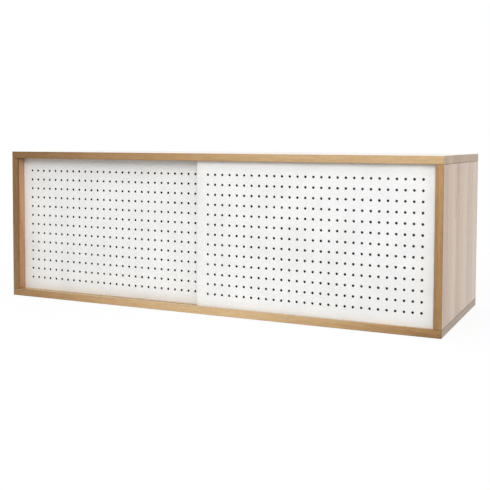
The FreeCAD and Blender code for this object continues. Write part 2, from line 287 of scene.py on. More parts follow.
class Wiring:
    """A tree of shader nodes under construction."""

    def __init__(self, tree: bpy.types.NodeTree) -> None:
        """Take the tree that the nodes go into."""
        self.tree = tree

    def node(self, kind: str, *inputs: object, **settings: object) -> bpy.types.Node:
        """Add a node.

        Args:
            kind: The node's type, without its ShaderNode prefix.
            inputs: Its first inputs in order, each a socket, a plain value or None.
            settings: The node's own settings.

        Returns:
            The node.
        """
        node = self.tree.nodes.new(f"ShaderNode{kind}")
        for name, value in settings.items():
            setattr(node, name, value)
        for socket, value in zip(node.inputs, inputs):
            self.feed(socket, value)
        return node

    def feed(self, socket: Socket, value: object) -> None:
        """Link a socket to another one, or set its plain value.

        Args:
            socket: The socket to feed.
            value: Another socket, a plain value, or None to leave it alone.
        """
        if isinstance(value, bpy.types.NodeSocket):
            self.tree.links.new(value, socket)
        elif value is not None:
            socket.default_value = value

    def place(self) -> Socket:
        """The place on the piece, in metres."""
        return self.node("TexCoord").outputs["Object"]

    def split(self, vector: Socket) -> list[Socket]:
        """The three parts of a vector."""
        return list(self.node("SeparateXYZ", vector).outputs)

    def math(self, operation: str, *values: object) -> Socket:
        """Work out one number from others."""
        return self.node("Math", *values, operation=operation).outputs[0]

    def stretched(self, vector: Socket, scale: Triple, detail: float = 2.0) -> Socket:
        """Soft noise, about 0.5 on average, with its own scale along each axis."""
        scaled = self.node("VectorMath", vector, scale, operation="MULTIPLY").outputs[0]
        return self.noise(scaled, 1.0, detail)

    def noise(self, vector: Socket, scale: float, detail: float = 2.0) -> Socket:
        """Soft noise, about 0.5 on average."""
        return self.node("TexNoise", vector, None, scale, detail).outputs["Fac"]

    def spread(self, value: Socket, low: float, high: float, start: float, end: float) -> Socket:
        """Carry a value from one range to another, clamped."""
        return self.node("MapRange", value, low, high, start, end).outputs[0]

    def lean(self, value: Socket, noise: Socket, share: float) -> Socket:
        """Move a value up and down with a noise."""
        return self.math("MULTIPLY_ADD", self.math("SUBTRACT", noise, 0.5), share, value)

    def blend(self, factor: object, first: object, second: object) -> Socket:
        """Mix two colours.

        Args:
            factor: 0 for the first colour, 1 for the second.
            first: A colour or a socket.
            second: A colour or a socket.

        Returns:
            The mixed colour.
        """
        node = self.node("Mix", factor, data_type="RGBA")
        # Its sockets for colours come after those for numbers and vectors.
        for socket, colour in zip(node.inputs[6:8], (first, second)):
            self.feed(socket, (*colour, 1.0) if isinstance(colour, tuple) else colour)
        return node.outputs[2]

    def ramp(self, factor: Socket, *stops: tuple[float, Colour]) -> Socket:
        """Lead a value through colours.

        Args:
            factor: The value.
            stops: Places along the ramp and their colours.

        Returns:
            The colour.
        """
        node = self.node("ValToRGB", factor)
        elements = node.color_ramp.elements
        while len(elements) < len(stops):
            elements.new(1.0)
        for element, (place, colour) in zip(elements, stops):
            element.position = place
            element.color = (*colour, 1.0)
        return node.outputs["Color"]

    def bump(self, height: Socket, distance: float, strength: float = 0.4) -> Socket:
        """Raise the surface by a height."""
        return self.node("Bump", strength, distance, None, height).outputs["Normal"]


class Recipe(Wiring):
    """A material under construction: its nodes and the shader that they feed."""

    def __init__(self, name: str) -> None:
        """Start a material.

        Args:
            name: The material's name.
        """
        self.material = bpy.data.materials.new(name)
        self.material.use_nodes = True
        super().__init__(self.material.node_tree)
        self.shader = self.tree.nodes["Principled BSDF"]

    def dress(self, **sockets: object) -> bpy.types.Material:
        """Feed the shader's sockets and give back the material.

        Args:
            sockets: Values by the shader's socket names, with _ for a space.

        Returns:
            The finished material.
        """
        for name, value in sockets.items():
            socket = name.replace("_", " ").title().replace("Ior", "IOR")
            whole = (*value, 1.0) if isinstance(value, tuple) else value
            self.feed(self.shader.inputs[socket], whole)
        return self.material


class Grain(Enum):
    """The way that a board's grain runs, as the turn that brings it onto X."""

    ALONG_X = (0.0, 0.0, 0.0)
    ALONG_Z = (0.0, radians(90), 0.0)


@dataclass(frozen=True)
class Board:
    """How one board was cut and glued up.

    Attributes:
        grain: The way that the grain runs.
        front_tones_and_shade: Tones of its front lipping, evenly spaced along the grain, 0 deep to 1
            pale: partly the oak's own tone and partly painted shade where light falls off.
        face_tones: The deepest and the palest tone of its other staves.
        stave_width: How wide those staves are.
        blush: How much reddish heartwood they have.
        first_blush: How much of it the stave next to the lipping has.
        end_shade: How much its end grain has darkened.
        polish: Its roughness as a share of the other boards'.
    """

    grain: Grain
    front_tones_and_shade: tuple[float, ...]
    face_tones: Span = (0.35, 0.8)
    stave_width: float = 46 * MM
    blush: float = 0.0
    first_blush: float = 0.0
    end_shade: float = 0.15
    polish: float = 1.0


@dataclass(frozen=True)
class OakFinish:
    """Satin solid oak, glued up from staves that each have their own growth rings.

    The scale of a noise counts per metre: along the grain, across it and through the board.
    """

    name: str = "satin_oak"
    pale: Colour = shade(212, 181, 135)
    middle: Colour = shade(176, 136, 85)
    deep: Colour = shade(122, 81, 20)
    heart: Colour = shade(182, 112, 72)
    pore: Colour = shade(88, 60, 38)
    end_grain: Colour = shade(94, 61, 10)
    lipping: float = 6 * MM
    staves_kept: float = 17.0
    log_length: float = 9.0
    pith_aside: Span = (-0.03, 0.03)
    pith_below: Span = (0.02, 0.09)
    ring_width: float = 3.2 * MM
    ring_wander: float = 24 * MM
    wander: Triple = (0.6, 6.0, 6.0)
    early_part: float = 0.55
    ring_share: float = 0.16
    streaks: Triple = (0.5, 70.0, 70.0)
    streak_share: float = 0.5
    flecks: Triple = (28.0, 170.0, 170.0)
    fleck_share: float = 0.32
    fibres: Triple = (9.0, 900.0, 900.0)
    fibre_share: float = 0.25
    fibre_height: float = 0.3
    pores: Triple = (90.0, 1800.0, 1800.0)
    pore_range: Span = (0.56, 0.66)
    pore_share: float = 0.6
    pore_depth: float = 0.08 * MM
    relief: float = 0.5
    end_range: Span = (0.4985, 0.499)
    # Darker arrises: partly wear, partly painted shade on their rounding.
    wear_and_shade_width: float = 2.4 * MM
    wear_and_shade_patches: float = 40.0
    wear_and_shade_range: Span = (0.5, 1.0)
    wear_and_shade_share: float = 0.3
    roughness: float = 0.14
    end_roughness: float = 0.3
    wear_roughness: float = 0.12
    ior: float = 1.58

    def material(self, node: str, board: Board, seed: int) -> bpy.types.Material:
        """Make the oak of one board.

        Args:
            node: The board's name.
            board: How it was cut and glued up.
            seed: Sets the board's own staves apart from the others'.

        Returns:
            The material.
        """
        low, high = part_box(node)
        length_axis = 0 if board.grain is Grain.ALONG_X else 2
        recipe = Recipe(f"{self.name}_{node}")
        run = recipe.node("Mapping", recipe.place(), None, board.grain.value).outputs[0]
        along, across, through = recipe.split(run)

        behind = recipe.math("SUBTRACT", across, low.y + self.lipping)
        stave = recipe.math("DIVIDE", behind, board.stave_width)
        # Each board has numbers of its own; the half keeps them clear of rounding.
        number = recipe.math("ADD", recipe.math("FLOOR", stave), self.staves_kept * seed + 0.5)
        chance = recipe.node("TexWhiteNoise", None, number, noise_dimensions="1D").outputs
        aside, below, later = recipe.split(chance["Color"])

        # The lipping's tone along the board is partly the oak's own and partly painted shade, darker
        # where light falls off towards the left end and the lower right.
        length = recipe.spread(along, low[length_axis], high[length_axis], 0.0, 1.0)
        last = len(board.front_tones_and_shade) - 1
        steps = [(step / last, (tone,) * 3) for step, tone in enumerate(board.front_tones_and_shade)]
        is_face = recipe.math("GREATER_THAN", behind, 0.0)
        face_tone = recipe.spread(chance["Value"], 0.0, 1.0, *board.face_tones)
        tone = recipe.blend(is_face, recipe.ramp(length, *steps), face_tone)

        inside = recipe.math("SUBTRACT", recipe.math("FRACT", stave), 0.5)
        sideways = recipe.math("MULTIPLY", inside, board.stave_width)
        own_along = recipe.math("MULTIPLY_ADD", later, self.log_length, along)
        own = recipe.node("CombineXYZ", own_along, sideways, through).outputs[0]
        early = self.early_wood(recipe, own, aside, below)
        fibres = recipe.stretched(own, self.fibres)
        dashes = recipe.stretched(own, self.pores, detail=1.0)
        pores = recipe.math("MULTIPLY", recipe.spread(dashes, *self.pore_range, 0.0, 1.0), early)

        tone = recipe.lean(tone, recipe.stretched(own, self.streaks, detail=3.0), self.streak_share)
        tone = recipe.lean(tone, recipe.stretched(own, self.flecks), self.fleck_share)
        tone = recipe.lean(tone, fibres, self.fibre_share)
        tone = recipe.math("MULTIPLY_ADD", early, -self.ring_share, tone)
        wood = recipe.ramp(tone, (0.0, self.deep), (0.5, self.middle), (1.0, self.pale))
        # The first stave runs from 0 to 1.
        is_first = recipe.math("COMPARE", stave, 0.5, 0.5)
        blush = recipe.spread(is_first, 0.0, 1.0, board.blush, board.first_blush)
        wood = recipe.blend(recipe.math("MULTIPLY", is_face, blush), wood, self.heart)
        wood = recipe.blend(recipe.math("MULTIPLY", pores, self.pore_share), wood, self.pore)
        to_end = recipe.math("ABSOLUTE", recipe.math("SUBTRACT", length, 0.5))
        at_end = recipe.spread(to_end, *self.end_range, 0.0, 1.0)
        wood = recipe.blend(recipe.math("MULTIPLY", at_end, board.end_shade), wood, self.end_grain)
        # Arrises darken in patches: partly wear from hands and cloths, partly painted shade on their
        # rounding.
        wear_and_shade = self.edge_wear_and_shade(recipe, low, high)
        colour = recipe.blend(recipe.math("MULTIPLY", wear_and_shade, self.wear_and_shade_share), wood, self.pore)

        satin = board.polish * self.roughness
        rough = recipe.spread(at_end, 0.0, 1.0, satin, self.end_roughness)
        rough = recipe.lean(rough, fibres, satin / 2)
        rough = recipe.math("MULTIPLY_ADD", wear_and_shade, self.wear_roughness, rough)
        hollows = recipe.math("MULTIPLY", pores, -1.0)
        height = recipe.math("MULTIPLY_ADD", fibres, self.fibre_height, hollows)
        return recipe.dress(
            base_color=colour,
            roughness=rough,
            ior=self.ior,
            normal=recipe.bump(height, self.pore_depth, self.relief),
        )

    def early_wood(self, recipe: Recipe, own: Socket, aside: Socket, below: Socket) -> Socket:
        """Lay growth rings through a stave, about a pith that lies somewhere below it.

        Args:
            recipe: The material.
            own: The place in the stave, with the grain along X.
            aside: Chance of how far the pith lies to one side.
            below: Chance of how far it lies below.

        Returns:
            One where a ring starts, with its open wood, falling to zero in its dense part.
        """
        _, across, through = recipe.split(own)
        wander = recipe.stretched(own, self.wander, detail=3.0)
        off_side = recipe.math("SUBTRACT", across, recipe.spread(aside, 0.0, 1.0, *self.pith_aside))
        above = recipe.math("ADD", through, recipe.spread(below, 0.0, 1.0, *self.pith_below))
        from_pith = recipe.node("CombineXYZ", 0.0, off_side, above).outputs[0]
        radius = recipe.node("VectorMath", from_pith, operation="LENGTH").outputs["Value"]
        wavy = recipe.math("MULTIPLY_ADD", wander, self.ring_wander, radius)
        ring = recipe.math("FRACT", recipe.math("DIVIDE", wavy, self.ring_width))
        return recipe.spread(ring, 0.0, self.early_part, 1.0, 0.0)

    def edge_wear_and_shade(self, recipe: Recipe, low: Vector, high: Vector) -> Socket:
        """Find the board's arrises, darkened partly by hands and cloths and partly as painted shade
        on their rounding.

        Args:
            recipe: The material.
            low: The board's lowest corner.
            high: The board's highest corner.

        Returns:
            One along an arris, in patches, falling to zero on the faces.
        """
        place = recipe.place()
        depths = []
        for part, near, far in zip(recipe.split(place), low, high):
            off_middle = recipe.math("ABSOLUTE", recipe.math("SUBTRACT", part, (near + far) / 2))
            depths.append(recipe.math("SUBTRACT", (far - near) / 2, off_middle))
        first, second, third = depths
        nearer = recipe.math("MINIMUM", first, second)
        farther = recipe.math("MINIMUM", recipe.math("MAXIMUM", first, second), third)
        from_arris = recipe.math("MAXIMUM", nearer, farther)
        worn_and_shaded = recipe.spread(from_arris, 0.0, self.wear_and_shade_width, 1.0, 0.0)
        patches = recipe.spread(recipe.noise(place, self.wear_and_shade_patches), *SWING, *self.wear_and_shade_range)
        return recipe.math("MULTIPLY", worn_and_shaded, patches)


@dataclass(frozen=True)
class LacquerFinish:
    """Satin white lacquer, sprayed on a smooth panel."""

    name: str = "white_lacquer"
    colour: Colour = shade(240, 240, 238)
    hollow: Colour = shade(234, 234, 232)
    clouds: float = 14.0
    cloud_range: Span = (0.35, 0.7)
    peel: float = 700.0
    peel_height: float = 0.04 * MM
    roughness: Span = (0.35, 0.48)
    ior: float = 1.48

    def material(self) -> bpy.types.Material:
        """Make the lacquer, with a faint cloudiness and the skin of sprayed paint.

        Returns:
            The material.
        """
        recipe = Recipe(self.name)
        place = recipe.place()
        clouds = recipe.noise(place, self.clouds, detail=3.0)
        peel = recipe.noise(place, self.peel, detail=1.0)
        cloudy = recipe.spread(clouds, *self.cloud_range, 0.0, 1.0)
        return recipe.dress(
            base_color=recipe.blend(cloudy, self.colour, self.hollow),
            roughness=recipe.spread(clouds, *SWING, *self.roughness),
            ior=self.ior,
            normal=recipe.bump(peel, self.peel_height),
        )


@dataclass(frozen=True)
class FibreAndShadeFinish:
    """The raw brown fibre of a punched hole's wall, much darker than bare fibre: painted shade
    inside the hole.
    """

    name: str = "punched_fibre"
    # Both tones are far darker than bare fibre: painted shade inside the holes.
    dark: Colour = shade(24, 19, 15)
    light: Colour = shade(46, 36, 28)
    strands: Triple = (1500.0, 5000.0, 1500.0)
    strand_range: Span = (0.35, 0.7)
    strand_height: float = 0.1 * MM
    relief: float = 0.6
    roughness: Span = (0.85, 0.95)
    specular: float = 0.2

    def material(self) -> bpy.types.Material:
        """Make the torn, dull fibre.

        Returns:
            The material.
        """
        recipe = Recipe(self.name)
        strands = recipe.stretched(recipe.place(), self.strands)
        raised = recipe.spread(strands, *self.strand_range, 0.0, 1.0)
        return recipe.dress(
            base_color=recipe.blend(raised, self.dark, self.light),
            roughness=recipe.spread(strands, *SWING, *self.roughness),
            specular_ior_level=self.specular,
            normal=recipe.bump(strands, self.strand_height, self.relief),
        )


@dataclass(frozen=True)
class ZincFinish:
    """Bright zinc on small steel parts, cloudy, with fine marks from tumbling."""

    name: str = "bright_zinc"
    bright: Colour = shade(208, 207, 202)
    dull: Colour = shade(166, 167, 168)
    clouds: float = 420.0
    marks: Triple = (900.0, 6000.0, 900.0)
    mark_height: float = 0.02 * MM
    roughness: Span = (0.22, 0.38)
    mark_roughness: float = 0.1

    def material(self) -> bpy.types.Material:
        """Make the zinc.

        Returns:
            The material.
        """
        recipe = Recipe(self.name)
        place = recipe.place()
        clouds = recipe.noise(place, self.clouds, detail=3.0)
        marks = recipe.stretched(place, self.marks, detail=1.0)
        cloudy = recipe.spread(clouds, *SWING, 0.0, 1.0)
        rough = recipe.spread(clouds, *SWING, *self.roughness)
        return recipe.dress(
            base_color=recipe.blend(cloudy, self.bright, self.dull),
            metallic=1.0,
            roughness=recipe.lean(rough, marks, self.mark_roughness),
            normal=recipe.bump(marks, self.mark_height),
        )


@dataclass(frozen=True)
class WaxyFinish:
    """Dark waxy plastic, rubbed lighter along the way that the doors run."""

    name: str = "waxy_strip"
    fresh: Colour = shade(58, 50, 44)
    rubbed: Colour = shade(92, 82, 73)
    scuffs: Triple = (12.0, 3000.0, 3000.0)
    scuff_range: Span = (0.45, 0.75)
    grains: float = 2500.0
    grain_height: float = 0.02 * MM
    relief: float = 0.3
    roughness: Span = (0.5, 0.3)

    def material(self) -> bpy.types.Material:
        """Make the plastic.

        Returns:
            The material.
        """
        recipe = Recipe(self.name)
        place = recipe.place()
        scuffs = recipe.stretched(place, self.scuffs)
        grains = recipe.noise(place, self.grains, detail=1.0)
        rubbing = recipe.spread(scuffs, *self.scuff_range, 0.0, 1.0)
        return recipe.dress(
            base_color=recipe.blend(rubbing, self.fresh, self.rubbed),
            roughness=recipe.spread(rubbing, 0.0, 1.0, *self.roughness),
            normal=recipe.bump(grains, self.grain_height, self.relief),
        )


@dataclass(frozen=True)
class BeechFinish:
    """Raw turned beech, with its short dark flecks along the grain."""

    name: str = "raw_beech"
    pale: Colour = shade(214, 182, 146)
    rosy: Colour = shade(192, 152, 114)
    fleck: Colour = shade(140, 98, 66)
    streaks: Triple = (350.0, 350.0, 14.0)
    flecks: Triple = (2200.0, 2200.0, 380.0)
    fleck_range: Span = (0.62, 0.7)
    fleck_share: float = 0.7
    fleck_height: float = 0.05 * MM
    roughness: Span = (0.6, 0.75)

    def material(self) -> bpy.types.Material:
        """Make the beech, its grain upright.

        Returns:
            The material.
        """
        recipe = Recipe(self.name)
        place = recipe.place()
        streaks = recipe.stretched(place, self.streaks, detail=3.0)
        flecks = recipe.stretched(place, self.flecks, detail=1.0)
        wood = recipe.blend(recipe.spread(streaks, *SWING, 0.0, 1.0), self.pale, self.rosy)
        speckle = recipe.spread(flecks, *self.fleck_range, 0.0, self.fleck_share)
        return recipe.dress(
            base_color=recipe.blend(speckle, wood, self.fleck),
            roughness=recipe.spread(streaks, *SWING, *self.roughness),
            normal=recipe.bump(flecks, self.fleck_height),
        )


# Sub-assemblies


@dataclass
class Carcass:
    """The oak box: boards whose shapes come from the frame, dressed with the way of their grain."""

    oak: OakFinish
    nodes: dict[str, Piece]

    BOARDS: ClassVar[dict[str, Board]] = {
        # The first tones, for the lipping, are partly the oak's own and partly painted shade: darker
        # towards the left end, the bottom board's right end and the right side's foot.
        "top_board": Board(Grain.ALONG_X, (0.0, 0.4, 0.8, 0.9), (0.4, 0.7), polish=0.4),
        # The bottom board's staves are set pale: partly the oak's own tone, partly painted light
        # thrown back from the doors onto the strip before them.
        "bottom_board": Board(
            Grain.ALONG_X, (0.3, 0.57, 0.83, 0.92, 0.74, 0.26), (0.7, 0.95), end_shade=0.65
        ),
        # The left side board's staves are set pale: partly the oak's own tone, partly painted light
        # falling on the inner wall beside the doors.
        "left_side_board": Board(
            Grain.ALONG_Z, (0.2, 0.08, 0.04, 0.04), (0.65, 0.9), blush=0.25, first_blush=0.5
        ),
        "right_side_board": Board(
            Grain.ALONG_Z, (0.3, 0.5), (0.4, 0.95), blush=0.25, first_blush=0.35
        ),
        "centre_partition": Board(Grain.ALONG_Z, (0.5, 0.6)),
        "left_shelf": Board(Grain.ALONG_X, (0.5, 0.7)),
        "right_shelf": Board(Grain.ALONG_X, (0.7, 0.5)),
        "back_panel": Board(Grain.ALONG_X, (0.5, 0.6), (0.5, 0.75), stave_width=160 * MM),
    }

    def dress(self) -> None:
        """Give every board its own oak."""
        for seed, (node, board) in enumerate(self.BOARDS.items(), start=1):
            material = self.oak.material(node, board, seed)
            for slot in self.nodes[node].material_slots:
                slot.material = material
            log.info("%s: oak, grain %s", node, board.grain.name)


@dataclass
class SlidingDoors:
    """Two like panels, punched all over with peg holes, that slide past each other."""

    lacquer: LacquerFinish
    fibre: FibreAndShadeFinish
    columns: int = 28
    rows: int = 13
    pitch_across: float = 20 * MM
    pitch_up: float = 25 * MM
    hole_radius: float = 3 * MM
    hole_sides: int = 12
    rim_round: float = 0.25 * MM
    edge_round: float = 0.8 * MM

    def build(self) -> None:
        """Model the front door, copy it for the rear one and dress both."""
        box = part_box("front_door")
        front = self.punched_sheet("perforated_front_door", box)
        self.thicken(front, box)
        self.dress(front, box)
        rear = copy_of(front, "perforated_rear_door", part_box("rear_door")[0] - box[0])
        for door, node in ((front, "front_door"), (rear, "rear_door")):
            stand_for(door, node, node)

    def punched_sheet(self, name: str, box: Extent) -> Piece:
        """Model the front skin: one cell with its hole, repeated, with plain margins round them.

        Args:
            name: The door's name.
            box: The door's lowest and highest corner.

        Returns:
            The skin, one face thick.
        """
        low, high = box
        across = (self.columns - 1) * self.pitch_across
        upward = (self.rows - 1) * self.pitch_up
        middle = (low + high) / 2
        hole = Vector((middle.x - across / 2, low.y, middle.z - upward / 2))
        upright = (radians(90), 0, 0)
        # The cell's outline gets as many corners as its hole, a quarter of them on each side.
        sides = self.hole_sides // 4

        bpy.ops.mesh.primitive_grid_add(
            x_subdivisions=sides, y_subdivisions=sides, size=1, location=hole, rotation=upright
        )
        sheet = new_piece(name)
        with editing(sheet):
            bpy.ops.transform.resize(value=(self.pitch_across, 1, self.pitch_up))
            select(sheet, Element.VERT, lambda vert: not vert.is_boundary)
            bpy.ops.mesh.delete(type="VERT")
            bpy.ops.mesh.primitive_circle_add(
                vertices=self.hole_sides,
                radius=self.hole_radius / cos(pi / self.hole_sides),
                location=hole,
                rotation=upright,
            )
            bpy.ops.mesh.select_mode(type="EDGE")
            bpy.ops.mesh.select_all(action="SELECT")
            bpy.ops.mesh.bridge_edge_loops()
        pick(sheet)
        bpy.ops.object.transform_apply(location=True, rotation=True, scale=True)

        for count, offset in (
            (self.columns, (self.pitch_across, 0, 0)),
            (self.rows, (0, 0, self.pitch_up)),
        ):
            finish_with(
                sheet,
                "ARRAY",
                count=count,
                use_relative_offset=False,
                use_constant_offset=True,
                constant_offset_displace=offset,
                use_merge_vertices=True,
                merge_threshold=NEAR,
            )

        field_low = (hole.x - self.pitch_across / 2, 0, hole.z - self.pitch_up / 2)
        field_high = (
            hole.x + across + self.pitch_across / 2,
            0,
            hole.z + upward + self.pitch_up / 2,
        )
        with editing(sheet):
            for axis in (0, 2):
                for start, end in ((field_low[axis], low[axis]), (field_high[axis], high[axis])):
                    move = [0, 0, 0]
                    move[axis] = end - start
                    select(sheet, Element.EDGE, lies_at(axis, start))
                    bpy.ops.mesh.extrude_edges_move(TRANSFORM_OT_translate={"value": move})
        settle(sheet)
        return sheet

    def thicken(self, sheet: Piece, box: Extent) -> None:
        """Give the skin its thickness and ease the panel's edges and the holes' rims.

        Args:
            sheet: The skin.
            box: The door's lowest and highest corner.
        """
        with editing(sheet):
            select(sheet, Element.FACE, lambda face: face.normal.y > 0)
            bpy.ops.mesh.flip_normals()
        finish_with(sheet, "SOLIDIFY", thickness=box[1].y - box[0].y, offset=-1)
        with editing(sheet):
            ease(sheet, lambda edge: self.on_outline(edge, box), self.edge_round, steps=3)
            ease(sheet, lambda edge: self.on_front_rim(edge, box), self.rim_round)
        settle(sheet)

    @staticmethod
    def on_outline(edge: bmesh.types.BMEdge, box: Extent) -> bool:
        """Say whether an edge is one of the panel's own arrises, where two of its sides meet."""
        sides = [lies_at(axis, *levels)(edge) for axis, levels in enumerate(zip(*box))]
        return sum(sides) > 1

    def in_field(self, place: Vector, box: Extent) -> bool:
        """Say whether a place is among the holes and not on the panel's edge."""
        inward = [min(place[axis] - box[0][axis], box[1][axis] - place[axis]) for axis in (0, 2)]
        return min(inward) > self.pitch_across / 2

    def in_hole(self, face: bmesh.types.BMFace, box: Extent) -> bool:
        """Say whether a face is part of a hole's wall."""
        return abs(face.normal.y) < SLIGHT and self.in_field(face.calc_center_median(), box)

    def on_front_rim(self, edge: bmesh.types.BMEdge, box: Extent) -> bool:
        """Say whether an edge lies where the front meets a hole's wall."""
        at_front = lies_at(1, box[0].y)(edge)
        return at_front and any(self.in_hole(face, box) for face in edge.link_faces)

    def dress(self, door: Piece, box: Extent) -> None:
        """Lacquer the panel and leave the fibre bare in its holes, darkened there by painted shade.

        Args:
            door: The door.
            box: The door's lowest and highest corner.
        """
        for finish in (self.lacquer, self.fibre):
            door.data.materials.append(finish.material())
        with editing(door):
            select(door, Element.FACE, lambda face: self.in_hole(face, box))
            door.active_material_index = 1
            bpy.ops.object.material_slot_assign()


@dataclass
class TrackStrips:
    """The two strips that the doors run on, each with a pair of channels for the dust."""

    finish: WaxyFinish
    lanes: int = 5
    channel_depth: float = 0.3 * MM
    edge_round: float = 0.15 * MM

    def build(self) -> None:
        """Model both strips."""
        material = self.finish.material()
        for node in ("front_track_strip", "rear_track_strip"):
            strip = self.strip(f"channelled_{node}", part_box(node))
            strip.data.materials.append(material)
            stand_for(strip, node, "carcass")

    def strip(self, name: str, box: Extent) -> Piece:
        """Model one strip: its lanes, their thickness, and every second one sunk.

        Args:
            name: The strip's name.
            box: Its lowest and highest corner.

        Returns:
            The strip.
        """
        low, high = box
        middle = (low + high) / 2
        length, width, thickness = high - low
        bpy.ops.mesh.primitive_grid_add(
            x_subdivisions=1,
            y_subdivisions=self.lanes,
            size=1,
            location=(middle.x, middle.y, high.z),
        )
        strip = new_piece(name)
        lane = width / self.lanes

        def is_channel(face: bmesh.types.BMFace) -> bool:
            """Say whether a face is the top of a sunk lane."""
            number = int((face.calc_center_median().y - low.y) / lane)
            return number % 2 == 1 and lies_at(2, high.z)(face)

        with editing(strip):
            bpy.ops.transform.resize(value=(length, width, 1))
        settle(strip)
        with editing(strip):
            bpy.ops.mesh.select_all(action="SELECT")
            push(0, 0, -thickness)
            select(strip, Element.FACE, is_channel)
            push(0, 0, -self.channel_depth)
            at_top, at_ends = lies_at(2, high.z), lies_at(0, low.x, high.x)
            ease(strip, lambda edge: at_top(edge) and at_ends(edge), self.edge_round)
        settle(strip)
        return strip


@dataclass
class BackScrews:
    """The countersunk screws that hold the back panel, with cross recesses."""

    finish: ZincFinish
    edge_columns: tuple[float, ...] = (-525 * MM, -262.5 * MM, 0.0, 262.5 * MM, 525 * MM)
    edge_rows: tuple[float, ...] = (14 * MM, 390 * MM)
    upright_columns: tuple[float, ...] = (-586 * MM, 0.0, 586 * MM)
    upright_rows: tuple[float, ...] = (94 * MM, 310 * MM)
    sides: int = 20
    head_radius: float = 3.5 * MM
    head_height: float = 2 * MM
    shank_radius: float = 1.75 * MM
    core_radius: float = 1.25 * MM
    tip_length: float = 2 * MM
    tip_share: float = 1 / 8
    thread_turns: int = 5
    recess_width: float = 0.9 * MM
    recess_reach: float = 1.5 * MM
    recess_depth: float = 1.1 * MM
    recess_taper: float = 0.6
    rim_round: float = 0.12 * MM

    def build(self) -> None:
        """Model one screw, put a copy in each place and join them."""
        low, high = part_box("back_panel_screws")
        screw = self.screw(high.y - low.y)
        screw.data.materials.append(self.finish.material())
        places = [(x, z) for x in self.edge_columns for z in self.edge_rows]
        places += [(x, z) for x in self.upright_columns for z in self.upright_rows]
        copies = [
            copy_of(screw, f"screw_{number}", Vector((x, high.y, z)))
            for number, (x, z) in enumerate(places)
        ]
        bpy.data.objects.remove(screw, do_unlink=True)
        stand_for(join(copies, "cross_head_screws"), "back_panel_screws", "carcass")

    def screw(self, length: float) -> Piece:
        """Model a screw whose head looks along +Y at the origin.

        Args:
            length: Its length with the head.

        Returns:
            The screw.
        """
        bpy.ops.mesh.primitive_circle_add(
            vertices=self.sides,
            radius=self.head_radius,
            fill_type="NGON",
            rotation=(radians(-90), 0, 0),
        )
        screw = new_piece("screw")
        settle(screw)
        threaded = length - self.head_height - self.tip_length
        half_turn = threaded / self.thread_turns / 2
        steps = [(self.head_height, self.core_radius)]
        for _ in range(self.thread_turns):
            steps += [(half_turn, self.shank_radius), (half_turn, self.core_radius)]
        steps.append((self.tip_length, self.core_radius * self.tip_share))
        with editing(screw):
            bpy.ops.mesh.select_all(action="SELECT")
            radius = self.head_radius
            for advance, new_radius in steps:
                push(0, -advance, 0)
                factor = new_radius / radius
                bpy.ops.transform.resize(value=(factor, 1, factor))
                radius = new_radius
            ease(screw, lies_at(1, 0.0), self.rim_round)
        settle(screw)
        combine(screw, "DIFFERENCE", self.recess())
        settle(screw)
        return screw

    def recess(self) -> Piece:
        """Model the shape of the cross recess, narrower at its bottom.

        Returns:
            The shape to cut out.
        """
        bpy.ops.mesh.primitive_cube_add(size=self.recess_width)
        cross = new_piece("cross_recess")
        with editing(cross):
            bpy.ops.transform.resize(value=(1, 2 * self.recess_depth / self.recess_width, 1))
            half = self.recess_width / 2
            for arm in ((-1, 0, 0), (1, 0, 0), (0, 0, -1), (0, 0, 1)):
                select(cross, Element.FACE, centred_on(half * Vector(arm)))
                push(*(self.recess_reach - half) * Vector(arm))
            select(cross, Element.FACE, lies_at(1, -self.recess_depth))
            bpy.ops.transform.resize(value=(self.recess_taper, 1, self.recess_taper))
        settle(cross)
        return cross


@dataclass
class ShelfPins:
    """Four spoon pins under each shelf: a round shank in the wall and a rounded flat to lie on."""

    finish: ZincFinish
    sides: int = 16
    shank_radius: float = 2.5 * MM
    depth: float = 8 * MM
    spoon_length: float = 9 * MM
    spoon_width: float = 8 * MM
    spoon_thickness: float = 2 * MM
    spoon_corner: float = 3 * MM
    edge_round: float = 0.4 * MM

    def build(self) -> None:
        """Model one pin and put its copies into both walls of each bay."""
        pin = self.pin()
        pin.data.materials.append(self.finish.material())
        for node in ("left_shelf_pins", "right_shelf_pins"):
            low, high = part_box(node)
            copies = []
            for wall, turn in ((low.x + self.depth, 0.0), (high.x - self.depth, pi)):
                for edge in (low.y + self.spoon_width / 2, high.y - self.spoon_width / 2):
                    place = Vector((wall, edge, high.z))
                    copies.append(copy_of(pin, f"{node}_{len(copies)}", place, turn))
            stand_for(join(copies, f"spoon_{node}"), node, "carcass")
        bpy.data.objects.remove(pin, do_unlink=True)

    def pin(self) -> Piece:
        """Model a pin that points along +X out of a wall at the origin, with its top at zero.

        Returns:
            The pin.
        """
        length = self.depth + self.spoon_length
        bpy.ops.mesh.primitive_cylinder_add(
            vertices=self.sides,
            radius=self.shank_radius,
            depth=length,
            location=(length / 2 - self.depth, 0, -self.shank_radius),
            rotation=(0, radians(90), 0),
        )
        pin = new_piece("spoon_pin")
        settle(pin)
        with editing(pin):
            ease(pin, lies_at(0, -self.depth, self.spoon_length), self.edge_round, steps=2)
        combine(pin, "UNION", self.spoon())
        settle(pin)
        return pin

    def spoon(self) -> Piece:
        """Model the flat, with its free corners rounded and its edges eased.

        Returns:
            The flat.
        """
        size = (self.spoon_length, self.spoon_width, self.spoon_thickness)
        bpy.ops.mesh.primitive_cube_add(
            size=1, location=(self.spoon_length / 2, 0, -self.spoon_thickness / 2)
        )
        spoon = new_piece("spoon")
        with editing(spoon):
            bpy.ops.transform.resize(value=size)
        settle(spoon)
        with editing(spoon):
            half = self.spoon_width / 2
            at_wall, at_end = lies_at(0, 0.0), lies_at(0, self.spoon_length)
            at_top, at_sides = lies_at(2, 0.0), lies_at(1, -half, half)
            ease(spoon, lambda edge: at_end(edge) and at_sides(edge), self.spoon_corner, steps=5)
            ease(spoon, lambda edge: at_top(edge) and not at_wall(edge), self.edge_round, steps=2)
        settle(spoon)
        return spoon


